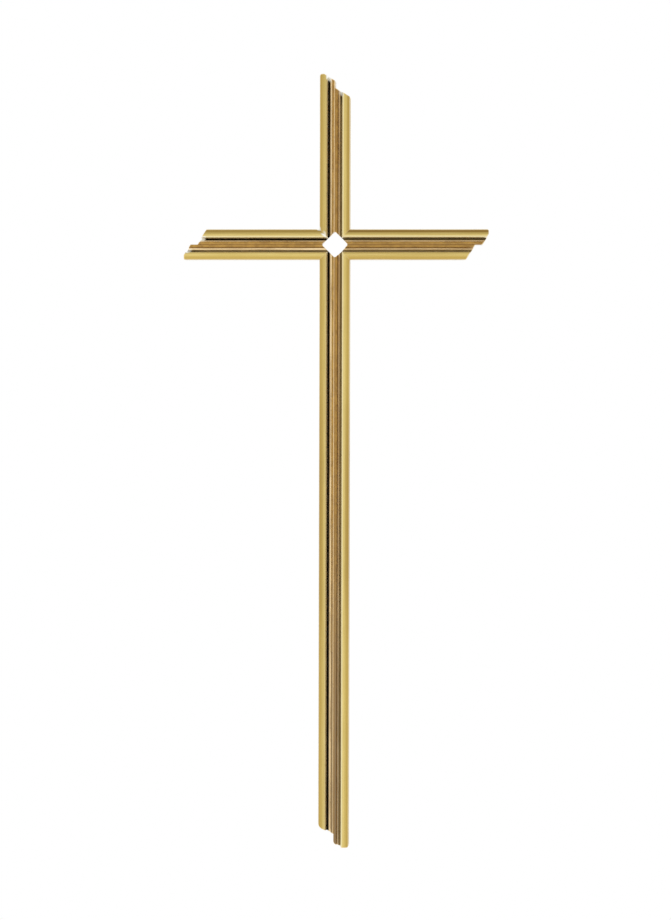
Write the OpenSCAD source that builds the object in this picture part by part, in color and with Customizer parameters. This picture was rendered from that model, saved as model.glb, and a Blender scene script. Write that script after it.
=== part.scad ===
// Wall cross of paired brass rails on a backing plate, held on a wall by threaded studs.
// It is drawn lying face up: X runs to the right, Y up the cross and Z towards the viewer.
// stand_up() then turns it upright, so that its front faces -Y and its studs run along +Y.
// The origin is in the middle of the crossing, on the face of the wall.

/* [Cross] */
// Reach of the upper arm, from the middle of the crossing to its tip
upper_reach = 88; // [80:1:140]
// Reach of the lower arm
lower_reach = 312; // [180:1:420]
// Reach of the left arm
left_reach = 78.2; // [76:0.1:140]
// Reach of the right arm
right_reach = 79.6; // [76:0.1:140]
// Half of the diagonal of the diamond window in the crossing
window_half = 6.9; // [5:0.1:9]

/* [Ends of the arms] */
// Length by which the leading rail of an arm runs past the rail beside it
end_step = 3.7; // [1:0.1:6]
// Angle of the end cuts, away from square
end_slant = 31; // [15:1:40]
// Width of the square flat on the tip of each leading rail
tip_flat = 2.3; // [1.4:0.1:4]
// The same step at the foot, the end of the lower arm
foot_step = 5; // [1:0.1:6]
// The same angle at the foot
foot_slant = 24.5; // [15:0.5:40]
// The same flat at the foot
foot_flat = 3.4; // [1.4:0.1:4]
// Radius on the outer corner of each flat
tip_r = 0.9; // [0.5:0.1:1.2]
// Radius on the outer corner of the shorter rail of the upper arm
upper_corner_r = 1.2; // [0.5:0.1:9]
// The same radius in the right arm
right_corner_r = 1.2; // [0.5:0.1:9]
// The same radius in the lower arm
lower_corner_r = 3.4; // [0.5:0.1:9]
// The same radius in the left arm
left_corner_r = 0.6; // [0.5:0.1:9]

/* [Rails] */
// Width of the flat top of the inner ledge
ledge_w = 1.35; // [1:0.05:3]
// Height of the ledge
ledge_h = 5.2; // [4.6:0.1:6]
// Bevel on the edge of the ledge along the split line
split_bevel = 0.25; // [0.1:0.05:0.5]
// Width of the steep step beside the ledge
step_w = 0.35; // [0.2:0.05:1]
// Fall of that step
step_fall = 3; // [0.6:0.1:3.1]
// Width of the flat terrace below the step
terrace_w = 0.8; // [0.4:0.05:2]
// Width of the floor of the groove between the terrace and the rib
groove_w = 0.85; // [0.6:0.05:2]
// Height of the floor of the groove
groove_h = 1.2; // [0.8:0.1:1.4]
// Width of the sloped inner flank of the rib
flank_w = 0.45; // [0.1:0.05:0.6]
// Width of the outer rib on top
rib_w = 4.05; // [3.6:0.05:6]
// Height of the crest of the rib
rib_h = 7; // [6.6:0.1:10]
// Bevel on the inner edge of the rib
rib_bevel = 0.5; // [0.2:0.05:0.8]
// Radius of the crown of the rib
crown_r = 4; // [3.6:0.1:6]
// Distance of the crest from the inner face of the rib
crest_in = 1.15; // [0.9:0.05:1.6]

/* [Backing plate] */
// Thickness of the plate
plate_t = 3; // [2.4:0.1:5]
// Distance of the edge of the plate behind the edge of the rails
plate_inset = 0.25; // [0:0.05:0.4]
// Distance of the window in the plate behind the window in the rails
window_inset = 0.8; // [0.2:0.1:1.2]

/* [Rail screws] */
// Radius of the shank
screw_r = 1; // [0.8:0.05:1.1]
// Radius of the countersunk head
screw_head_r = 1.8; // [1.5:0.05:1.9]
// Height of the countersunk head
screw_head_h = 1; // [0.8:0.05:1.4]
// Depth of the thread in a rail
screw_grip = 5; // [3:0.1:5.2]
// Width of the driver slot
slot_w = 0.5; // [0.3:0.05:0.7]
// Depth of the driver slot
slot_d = 0.5; // [0.3:0.05:0.6]
// Metal left between a screw hole and the groove
screw_wall = 0.4; // [0.2:0.05:0.6]
// Distance of the first pair of screws from the middle of the crossing
first_screw = 24; // [14:1:34]
// Distance of the last pair of screws from the end of the shorter rail
last_screw = 7; // [4:0.5:9]
// Pairs of screws in the lower arm between its two studs
middle_pairs = 3; // [1:1:8]

/* [Studs and bosses] */
// Distance between the wall and the back of the plate
standoff = 8; // [3:0.5:20]
// Radius of the shoulder of a boss
boss_r = 5.5; // [4.6:0.1:6.5]
// Radius of the spigot that is pressed into the plate
spigot_r = 4; // [3.4:0.1:4.4]
// Radius of a stud
stud_r = 3; // [2.8:0.1:3.2]
// Radius of the end of a stud that is screwed into its boss
stud_root_r = 2.6; // [2:0.1:2.7]
// Length of a stud in the wall
stud_l = 30; // [20:1:80]
// Bevel on the tip of a stud
stud_bevel = 1; // [0.5:0.1:1.5]
// Diameter of the circle of studs around the crossing
stud_circle = 90; // [74:1:96]
// Distance of the foot stud from the tip of the lower arm
foot_stud_up = 32; // [26:1:60]

/* [Hidden] */
$fn = 64;

BRASS = [0.79, 0.68, 0.39];
BROWN_BRASS = [0.56, 0.44, 0.25];
STEEL = [0.72, 0.72, 0.70];

// Clearance around what is pressed or screwed in, and the overshoot of a cut
fit_gap = 0.05;
cut_over = 1;
// Distance by which the arc on a corner passes the edges that it joins
arc_past = 0.03;

// Places across an arm, from the split line outwards
terrace_in = ledge_w + step_w;
groove_in = terrace_in + terrace_w;
rib_in = groove_in + groove_w + flank_w;
rail_w = rib_in + rib_w;
screw_line = rib_in + screw_wall + screw_r + fit_gap;

// Height of the terrace on its rail
terrace_h = ledge_h - step_fall;

// Heights from the wall
plate_back = standoff;
rail_seat = plate_back + plate_t;

// Distances of the studs from the middle
stud_out = stud_circle / 2;
foot_out = lower_reach - foot_stud_up;

// An end has the angle of its cuts, the step between its rails and the flat on its tip
ARM_END = [end_slant, end_step, tip_flat];
FOOT_END = [foot_slant, foot_step, foot_flat];

// An arm has its turn, its reach, its end, its corner radius and the distances of the screws between its studs
RIGHT = [0, right_reach, ARM_END, right_corner_r, []];
UPPER = [90, upper_reach, ARM_END, upper_corner_r, []];
LEFT = [180, left_reach, ARM_END, left_corner_r, []];
LOWER = [
    270,
    lower_reach,
    FOOT_END,
    lower_corner_r,
    [for (i = [1 : middle_pairs]) stud_out + (foot_out - stud_out) * i / (middle_pairs + 1)]
];
ARMS = [RIGHT, UPPER, LEFT, LOWER];
function turn(arm) = arm[0];
function reach(arm) = arm[1];
function slant(arm) = arm[2][0];
function step(arm) = arm[2][1];
function flat(arm) = arm[2][2];
function corner_r(arm) = arm[3];
function middle_screws(arm) = arm[4];

// A rail is the leading one of its arm or the one that lags beside it
LEADING = 1;
LAGGING = -1;

// Distance from the middle at which an end cut crosses the split line
function cut_at_split(arm, side) =
    reach(arm) - (rail_w - flat(arm)) * tan(slant(arm)) - (side == LAGGING ? step(arm) : 0);

// Distance from the middle at which an end cut crosses a line beside the split line
function cut_at(arm, side, across) = cut_at_split(arm, side) + side * across * tan(slant(arm));

// Distances of an arm's screws from the middle
function screw_places(arm) =
    concat(first_screw, middle_screws(arm), cut_at(arm, LAGGING, screw_line) - last_screw);

// A stud has the turn of its arm and its distance from the middle
RIGHT_STUD = [turn(RIGHT), stud_out];
UPPER_STUD = [turn(UPPER), stud_out];
LEFT_STUD = [turn(LEFT), stud_out];
LOWER_STUD = [turn(LOWER), stud_out];
FOOT_STUD = [turn(LOWER), foot_out];
STUDS = [RIGHT_STUD, UPPER_STUD, LEFT_STUD, LOWER_STUD, FOOT_STUD];

module stand_up() {
    rotate([90, 0, 0]) children();
}

module at_stud(stud) {
    rotate([0, 0, stud[0]]) translate([stud[1], 0, 0]) children();
}

// Both sides of an arm at each of its screws
module at_screws(arm, sides = [LEADING, LAGGING]) {
    rotate([0, 0, turn(arm)])
        for (along = screw_places(arm), side = sides)
            translate([along, side * screw_line, plate_back]) children();
}

// The piece that rounding takes off the outer corner of an end
// The arc crosses both edges at a slight angle in place of only touching them
module outer_corner(corner, lean, radius, inset) {
    centre = corner + radius * [tan(lean) - 1 / cos(lean), -1];
    r = radius - inset + arc_past;
    past_end = centre + r * [cos(lean), sin(lean)];
    past_side = centre + r * [0, 1];
    difference() {
        polygon([past_end, [corner.x + cut_over, past_side.y], past_side]);
        translate(centre) circle(r);
    }
}

// The end of a leading rail: a slanted cut, then a square flat on the tip
module leading_outline(arm, inset) {
    outer = rail_w - inset;
    back = inset / cos(slant(arm));
    tip = reach(arm) - inset;
    flat_in = rail_w - flat(arm) + (back - inset) / tan(slant(arm));
    difference() {
        polygon([[0, 0], [outer, outer], [tip, outer], [tip, flat_in], [cut_at(arm, LEADING, 0) - back, 0]]);
        outer_corner([reach(arm), rail_w], 0, tip_r, inset);
    }
}

// The end of the shorter rail: a slanted cut right across
module lagging_outline(arm, inset) {
    outer = rail_w - inset;
    back = inset / cos(slant(arm));
    ends = [for (across = [outer, 0]) [cut_at(arm, LAGGING, across) - back, across]];
    difference() {
        polygon(concat([[0, 0], [outer, outer]], ends));
        outer_corner([cut_at(arm, LAGGING, rail_w), rail_w], slant(arm), corner_r(arm), inset);
    }
}

// The outline of one rail in the arm that points along X, from the middle to its end
module rail_outline(arm, side, inset = 0) {
    if (side == LEADING) leading_outline(arm, inset);
    else mirror([0, 1, 0]) lagging_outline(arm, inset);
}

// The profile of a rail: ledge, step, terrace, groove and crowned rib
module rail_profile() {
    polygon([
        [0, 0], [rail_w, 0], [rail_w, groove_h], [groove_in, groove_h],
        [groove_in, terrace_h], [terrace_in, terrace_h], [ledge_w, ledge_h],
        [split_bevel, ledge_h], [0, ledge_h - split_bevel]
    ]);
    translate([rib_in, 0]) rib_profile();
}

module rib_profile() {
    square([rib_w, rib_h - crown_r]);
    intersection() {
        polygon([
            [-flank_w, 0], [rib_w, 0], [rib_w, rib_h], [rib_bevel, rib_h],
            [0, rib_h - rib_bevel], [-flank_w, groove_h]
        ]);
        translate([crest_in, rib_h - crown_r]) circle(crown_r);
    }
}

module window(half) {
    rotate([0, 0, 45]) square(half * sqrt(2), center = true);
}

module rail(arm, side) {
    color(BRASS) stand_up() difference() {
        rotate([0, 0, turn(arm)]) translate([0, 0, rail_seat]) difference() {
            intersection() {
                linear_extrude(rib_h + cut_over) rail_outline(arm, side);
                mirror([0, side == LEADING ? 0 : 1, 0]) rotate([90, 0, 90])
                    linear_extrude(reach(arm) + cut_over) rail_profile();
            }
            translate([0, 0, -cut_over]) linear_extrude(rib_h + 2 * cut_over) window(window_half);
        }
        at_screws(arm, [side]) cylinder(r = screw_r + fit_gap, h = plate_t + screw_grip + fit_gap);
    }
}

// A countersunk screw, seen from its head: gap widens it into its hole
module screw_body(gap = 0) {
    cylinder(r1 = screw_head_r + gap, r2 = screw_r + gap, h = screw_head_h);
    cylinder(r = screw_r + gap, h = plate_t + screw_grip);
}

module screws(arm) {
    color(BRASS) stand_up() at_screws(arm) difference() {
        screw_body();
        translate([-screw_head_r, -slot_w / 2, -cut_over])
            cube([2 * screw_head_r, slot_w, slot_d + cut_over]);
    }
}

module backing_plate() {
    color(BROWN_BRASS) stand_up() difference() {
        union() {
            for (arm = ARMS, side = [LEADING, LAGGING])
                rotate([0, 0, turn(arm)]) translate([0, 0, plate_back])
                    linear_extrude(plate_t) rail_outline(arm, side, plate_inset);
        }
        linear_extrude(rail_seat + cut_over) window(window_half + window_inset);
        for (arm = ARMS) at_screws(arm) screw_body(fit_gap);
        for (stud = STUDS) at_stud(stud) cylinder(r = spigot_r + fit_gap, h = rail_seat + cut_over);
    }
}

module boss(stud) {
    color(BRASS) stand_up() at_stud(stud) difference() {
        union() {
            cylinder(r = boss_r, h = standoff);
            cylinder(r = spigot_r, h = rail_seat);
        }
        translate([0, 0, -cut_over]) cylinder(r = stud_root_r + fit_gap, h = rail_seat + 2 * cut_over);
    }
}

module stud(stud) {
    color(STEEL) stand_up() at_stud(stud) {
        cylinder(r = stud_root_r, h = rail_seat);
        translate([0, 0, stud_bevel - stud_l]) cylinder(r = stud_r, h = stud_l - stud_bevel);
        translate([0, 0, -stud_l]) cylinder(r1 = stud_r - stud_bevel, r2 = stud_r, h = stud_bevel);
    }
}

rail(UPPER, LEADING);  // upper_arm_left_rail
rail(UPPER, LAGGING);  // upper_arm_right_rail
rail(RIGHT, LEADING);  // right_arm_upper_rail
rail(RIGHT, LAGGING);  // right_arm_lower_rail
rail(LOWER, LEADING);  // lower_arm_right_rail
rail(LOWER, LAGGING);  // lower_arm_left_rail
rail(LEFT, LEADING);  // left_arm_lower_rail
rail(LEFT, LAGGING);  // left_arm_upper_rail
backing_plate();
screws(UPPER);  // upper_arm_screws
screws(RIGHT);  // right_arm_screws
screws(LOWER);  // lower_arm_screws
screws(LEFT);  // left_arm_screws
boss(UPPER_STUD);  // upper_boss
boss(RIGHT_STUD);  // right_boss
boss(LOWER_STUD);  // lower_boss
boss(LEFT_STUD);  // left_boss
boss(FOOT_STUD);  // foot_boss
stud(UPPER_STUD);  // upper_stud
stud(RIGHT_STUD);  // right_stud
stud(LOWER_STUD);  // lower_stud
stud(LEFT_STUD);  // left_stud
stud(FOOT_STUD);  // foot_stud
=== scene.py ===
"""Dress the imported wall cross: satin brass rails with patinated ledges, a browned plate, screws, bosses and studs."""

import logging
import math
from dataclasses import asdict, dataclass, field, replace
from enum import Enum
from typing import ClassVar

import bmesh
import bpy
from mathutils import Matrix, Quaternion, Vector

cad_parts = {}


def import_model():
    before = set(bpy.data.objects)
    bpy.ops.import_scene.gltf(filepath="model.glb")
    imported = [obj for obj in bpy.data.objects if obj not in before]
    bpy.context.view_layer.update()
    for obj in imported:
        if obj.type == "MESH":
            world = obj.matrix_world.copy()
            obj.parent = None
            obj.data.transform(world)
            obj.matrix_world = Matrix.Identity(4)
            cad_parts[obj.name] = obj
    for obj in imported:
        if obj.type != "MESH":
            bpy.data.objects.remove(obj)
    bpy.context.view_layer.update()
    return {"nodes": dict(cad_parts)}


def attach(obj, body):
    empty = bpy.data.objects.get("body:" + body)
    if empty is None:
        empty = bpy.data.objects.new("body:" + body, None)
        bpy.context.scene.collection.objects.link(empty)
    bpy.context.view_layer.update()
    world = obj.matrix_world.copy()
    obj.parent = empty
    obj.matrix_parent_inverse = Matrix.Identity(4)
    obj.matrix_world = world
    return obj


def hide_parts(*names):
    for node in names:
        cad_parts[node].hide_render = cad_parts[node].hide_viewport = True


LOG = logging.getLogger("wall_cross")
MM = 0.001
MERGE = 0.0005 * MM
BODY = "root"
# The attributes in which a rail's mesh carries its tones, three to each, most of them shares of painted light and
# shade.
TONE_SETS = {
    "rail_tone": ("sootshadow", "step", "terrace"),
    "rail_highlight_and_shade": ("split", "rib", "dark"),
    "rail_glints_and_rim_shade": ("mouth", "bead", "rim"),
    "rail_light_and_shadow": ("flank", "gleam", "splitshadow"),
}

Colour = tuple[float, float, float, float]
Point = tuple[float, float]
Span = tuple[float, float]
Place = tuple[float, float, float]
Socket = bpy.types.NodeSocket
Wire = Socket | float | int | bool | str | tuple[float, ...]

WHITE: Colour = (1.0, 1.0, 1.0, 1.0)


class Side(Enum):
    """The rail of an arm that runs further out, and the one that lags beside it."""

    LEADING = 1
    LAGGING = -1


class Arm(Enum):
    """The arms, each with its turn from the right arm in degrees."""

    RIGHT = 0
    UPPER = 90
    LEFT = 180
    LOWER = 270

    def direction(self) -> tuple[float, float]:
        """Return the arm's unit direction as its X and Z shares."""
        return math.cos(math.radians(self.value)), math.sin(math.radians(self.value))

    def place(self, along: float, across: float, out: float) -> Vector:
        """Turn a place on the arm into the shared frame.

        Args:
            along: Distance from the middle of the crossing, in millimetres.
            across: Distance from the split line, in millimetres.
            out: Distance in front of the wall, in millimetres.

        Returns:
            The place in metres.
        """
        dx, dz = self.direction()
        return Vector((along * dx - across * dz, -out, along * dz + across * dx)) * MM


class Graph:
    """A node tree with short calls that add nodes and wire their sockets."""

    def __init__(self, tree: bpy.types.NodeTree) -> None:
        """Keep the tree that the calls add to."""
        self.tree = tree

    def add(self, kind: str, wires: dict[str | int, Wire] | None = None, **settings: object) -> bpy.types.Node:
        """Add a node, set its properties and feed its inputs.

        Args:
            kind: The node's type name.
            wires: What each input takes, a socket or a fixed value, by its name or number.
            settings: Properties of the node.

        Returns:
            The new node.
        """
        node = self.tree.nodes.new(kind)
        for name, value in settings.items():
            setattr(node, name, value)
        for key, value in (wires or {}).items():
            self.join(value, node.inputs[key])
        return node

    def join(self, value: Wire, socket: Socket) -> None:
        """Feed a socket.

        Args:
            value: Another socket, or a fixed value.
            socket: The socket to feed.
        """
        if isinstance(value, bpy.types.NodeSocket):
            self.tree.links.new(value, socket)
        else:
            socket.default_value = value

    def math(self, operation: str, *values: Wire) -> Socket:
        """Return the result of one sum on values or sockets."""
        return self.add("ShaderNodeMath", dict(enumerate(values)), operation=operation).outputs[0]

    def fold(self, operation: str, values: tuple[Wire, ...]) -> Socket:
        """Take several values together, one after the other.

        Args:
            operation: The sum that takes two values together.
            values: The values or sockets.

        Returns:
            The result.
        """
        result = values[0]
        for value in values[1:]:
            result = self.math(operation, result, value)
        return result

    def most(self, *values: Wire) -> Socket:
        """Return the largest of several values."""
        return self.fold("MAXIMUM", values)

    def times(self, *values: Wire) -> Socket:
        """Return the product of several values."""
        return self.fold("MULTIPLY", values)

    def plus(self, *values: Wire) -> Socket:
        """Return the sum of several values."""
        return self.fold("ADD", values)

    def minus(self, first: Wire, second: Wire) -> Socket:
        """Return the first value less the second."""
        return self.math("SUBTRACT", first, second)

    def away(self, x: Wire, y: Wire) -> Socket:
        """Return the distance from an axis of a place beside it."""
        return self.math("SQRT", self.plus(self.times(x, x), self.times(y, y)))

    def choose(self, test: Wire, otherwise: Wire, wanted: Wire) -> Socket:
        """Return one value where a test is 1, and another where it is 0."""
        return self.math("MULTIPLY_ADD", test, self.minus(wanted, otherwise), otherwise)

    def arc(self, radius: Wire, off: Wire) -> Socket:
        """Return the height of an arc above its centre, at a distance from the middle of the arc."""
        spare = self.minus(self.times(radius, radius), self.times(off, off))
        return self.math("SQRT", self.most(spare, 0.0))

    def ramp(self, value: Wire, low: float, high: float, start: float = 0.0, end: float = 1.0) -> Socket:
        """Fade smoothly from start to end while a value goes from low to high.

        Args:
            value: The value that sets the fade.
            low: Value at which the fade starts.
            high: Value at which the fade ends.
            start: Result before the fade.
            end: Result after the fade.

        Returns:
            The faded value.
        """
        wires = {"Value": value, "From Min": low, "From Max": high, "To Min": start, "To Max": end}
        return self.add("ShaderNodeMapRange", wires, interpolation_type="SMOOTHSTEP").outputs[0]

    def fall(self, value: Wire, low: float, high: float) -> Socket:
        """Fade smoothly from 1 to 0 while a value goes from low to high."""
        return self.ramp(value, low, high, 1.0, 0.0)

    def band(self, value: Wire, middle: float, reach: float) -> Socket:
        """Return a mask that is 1 at the middle of a band and 0 beyond its reach."""
        off = self.math("ABSOLUTE", self.minus(value, middle))
        return self.fall(off, 0.25 * reach, reach)

    def tint(self, mask: Wire, first: Wire, second: Wire) -> Socket:
        """Return a colour mixed from the first to the second by a mask."""
        wires = {0: mask, 6: first, 7: second}
        return self.add("ShaderNodeMix", wires, data_type="RGBA").outputs[2]

    def xyz(self, x: Wire, y: Wire, z: Wire) -> Socket:
        """Return a vector made of three values."""
        return self.add("ShaderNodeCombineXYZ", {0: x, 1: y, 2: z}).outputs[0]

    def split(self, vector: Wire) -> tuple[Socket, Socket, Socket]:
        """Return the three values of a vector."""
        outputs = self.add("ShaderNodeSeparateXYZ", {0: vector}).outputs
        return outputs[0], outputs[1], outputs[2]

    def noise(self, vector: Wire, scale: Wire, detail: float, rough: float = 0.5) -> Socket:
        """Return the value of a noise texture at a vector."""
        wires = {"Vector": vector, "Scale": scale, "Detail": detail, "Roughness": rough}
        return self.add("ShaderNodeTexNoise", wires).outputs[0]

    def attribute(self, name: str) -> Socket:
        """Return a vector attribute of the piece."""
        return self.add("ShaderNodeAttribute", attribute_name=name).outputs["Vector"]

    def effect(self, group: bpy.types.NodeTree, **wires: Wire) -> dict[str, Socket]:
        """Place a shared effect, feed its inputs by name and return its outputs by name."""
        outputs = self.add("ShaderNodeGroup", wires, node_tree=group).outputs
        return {socket.name: socket for socket in outputs}

    def light_path(self) -> tuple[Socket, Socket]:
        """Return a mask of what the camera sees directly, and one of what a surface mirrors."""
        path = self.add("ShaderNodeLightPath").outputs
        return path["Is Camera Ray"], self.most(path["Is Glossy Ray"], path["Is Transmission Ray"])


class Effect:
    """A shader node group with named inputs and outputs."""

    def __init__(self, name: str, sizes: tuple[str, ...], outputs: tuple[str, ...]) -> None:
        """Make an empty group, whose first input is a vector.

        Args:
            name: Name of the group.
            sizes: Names of its other inputs, which are plain numbers.
            outputs: Names of its outputs, which are plain numbers too.
        """
        self.tree = bpy.data.node_groups.new(name, "ShaderNodeTree")
        interface = self.tree.interface
        interface.new_socket("Vector", in_out="INPUT", socket_type="NodeSocketVector")
        for label in sizes:
            interface.new_socket(label, in_out="INPUT", socket_type="NodeSocketFloat")
        for label in outputs:
            interface.new_socket(label, in_out="OUTPUT", socket_type="NodeSocketFloat")
        self.graph = Graph(self.tree)
        self.inputs = self.graph.add("NodeGroupInput").outputs
        self.outputs = self.graph.add("NodeGroupOutput").inputs

    def give(self, name: str, value: Socket) -> None:
        """Feed an output."""
        self.graph.join(value, self.outputs[name])


class SharedEffects:
    """The effects that several finishes use, each built once. Their vectors are in millimetres."""

    def __init__(self) -> None:
        """Build the three groups."""
        self.brush = self._brush()
        self.patina = self._patina()
        self.handling = self._handling()

    @staticmethod
    def _brush() -> bpy.types.NodeTree:
        """Draw fine lines along the vector's X axis, as a belt or a brush leaves them.

        Returns:
            The group.
        """
        effect = Effect("brush_lines", ("Density", "Length"), ("Lines", "Bands"))
        graph = effect.graph
        x, y, z = graph.split(effect.inputs["Vector"])
        run = graph.math("DIVIDE", x, effect.inputs["Length"])
        fine = graph.xyz(run, graph.times(y, effect.inputs["Density"]), graph.times(z, effect.inputs["Density"]))
        effect.give("Lines", graph.noise(fine, 1.0, 3.0, 0.65))
        wide = graph.xyz(graph.times(run, 0.4), y, z)
        effect.give("Bands", graph.noise(wide, 1.6, 2.0))
        return effect.tree

    @staticmethod
    def _patina() -> bpy.types.NodeTree:
        """Draw the cloudy blotches and small specks of a chemical patina.

        Returns:
            The group.
        """
        effect = Effect("patina_clouds", ("Size",), ("Clouds", "Specks"))
        graph = effect.graph
        scale = graph.math("DIVIDE", 1.0, effect.inputs["Size"])
        clouds = graph.noise(effect.inputs["Vector"], scale, 5.0, 0.62)
        effect.give("Clouds", graph.ramp(clouds, 0.32, 0.68))
        specks = graph.noise(effect.inputs["Vector"], graph.times(scale, 9.0), 2.0, 0.5)
        effect.give("Specks", graph.ramp(specks, 0.58, 0.72))
        return effect.tree

    @staticmethod
    def _handling() -> bpy.types.NodeTree:
        """Draw hairline scratches and soft smudges from wiping and handling.

        Returns:
            The group.
        """
        effect = Effect("handling_marks", ("Size",), ("Scratches", "Smudges"))
        graph = effect.graph
        vector = effect.inputs["Vector"]
        scale = graph.math("DIVIDE", 1.0, effect.inputs["Size"])
        x, y, z = graph.split(vector)
        drift = graph.xyz(graph.plus(x, graph.times(y, 2.1)), graph.times(z, 2.4), graph.times(y, 0.3))
        cells = graph.add("ShaderNodeTexVoronoi", {"Vector": drift, "Scale": scale}, feature="DISTANCE_TO_EDGE")
        hair = graph.fall(cells.outputs["Distance"], 0.0, 0.02)
        sparse = graph.ramp(graph.noise(vector, graph.times(scale, 1.7), 1.0), 0.54, 0.66)
        effect.give("Scratches", graph.times(hair, sparse))
        effect.give("Smudges", graph.noise(vector, graph.times(scale, 0.6), 3.0, 0.55))
        return effect.tree


class Paint:
    """A material with one Principled shader."""

    def __init__(self, name: str) -> None:
        """Make a material whose shader is not fed yet.

        Args:
            name: Name of the material.
        """
        self.material = bpy.data.materials.new(name)
        self.material.use_nodes = True
        self.material.node_tree.nodes.clear()
        self.graph = Graph(self.material.node_tree)
        self.shader = self.graph.add("ShaderNodeBsdfPrincipled")
        self.output = self.graph.add("ShaderNodeOutputMaterial", {"Surface": self.shader.outputs[0]})

    def coordinates(self) -> Socket:
        """Return the piece's Object coordinates in millimetres."""
        wires = {0: self.graph.add("ShaderNodeTexCoord").outputs["Object"], "Scale": 1.0 / MM}
        return self.graph.add("ShaderNodeVectorMath", wires, operation="SCALE").outputs[0]

    def dress(self, colour: Wire, metal: Wire, rough: Wire, height: Wire, depth: float) -> bpy.types.Material:
        """Feed the shader.

        Args:
            colour: Base colour.
            metal: Share of bare metal.
            rough: Roughness.
            height: Relief between 0 and 1.
            depth: Depth of the relief in millimetres.

        Returns:
            The finished material.
        """
        bump = self.graph.add("ShaderNodeBump", {"Strength": 1.0, "Distance": depth * MM, "Height": height})
        wires = {"Base Color": colour, "Metallic": metal, "Roughness": rough, "Normal": bump.outputs[0]}
        for name, value in wires.items():
            self.graph.join(value, self.shader.inputs[name])
        return self.material


class RailMasks:
    """Masks of the parts of a rail, read from the places that its mesh carries, and the rail's own tones."""

    def __init__(self, graph: Graph, section: "RailSection") -> None:
        """Build the masks.

        Args:
            graph: The node tree of the material.
            section: The section of a rail, which says where the ledge, the groove and the rib lie.
        """
        self.graph, self.section = graph, section
        self.along, self.across, self.high = graph.split(graph.attribute("rail_place"))
        self.to_cut, self.to_mitre, self.seed = graph.split(graph.attribute("rail_ends"))
        self.tone: dict[str, Socket] = {}
        for name, parts in TONE_SETS.items():
            self.tone.update(zip(parts, graph.split(graph.attribute(name))))
        across, floor = self.across, section.groove_h
        self.ledge = graph.fall(across, section.groove_in - 0.02, section.groove_in + 0.04)
        past_ledge = graph.ramp(across, section.ledge_w, section.ledge_w + 0.08)
        self.step = graph.times(past_ledge, graph.fall(across, section.terrace_in - 0.08, section.terrace_in + 0.02))
        past_step = graph.ramp(across, section.terrace_in - 0.06, section.terrace_in + 0.06)
        self.terrace = graph.times(past_step, self.ledge)
        inside = graph.ramp(across, section.groove_in - 0.02, section.groove_in + 0.02)
        self.flank = graph.times(inside, graph.fall(across, section.rib_in - 0.02, section.rib_in + 0.06))
        climbed = graph.fall(self.high, floor + 0.2, floor + 1.6)
        settled = graph.fall(self.high, floor + 0.05, floor + 0.4)
        above_floor = graph.ramp(self.high, floor - 0.12, floor - 0.04)
        # Where the rail's flank share is 1 the black of the groove stays by its floor, so the flank's painted light
        # shows above it.
        self.groove = graph.times(self.flank, graph.choose(self.tone["flank"], climbed, settled), above_floor)
        # Painted shadow of the rib: on the rails whose groove lies in it, the near-black of the groove creeps onto the
        # outer terrace.
        by_groove = graph.ramp(across, section.terrace_in + 0.25, section.groove_in + 0.05)
        self.crept = graph.times(self.tone["sootshadow"], by_groove)
        self.cut_face = graph.fall(self.to_cut, 0.01, 0.06)


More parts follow.
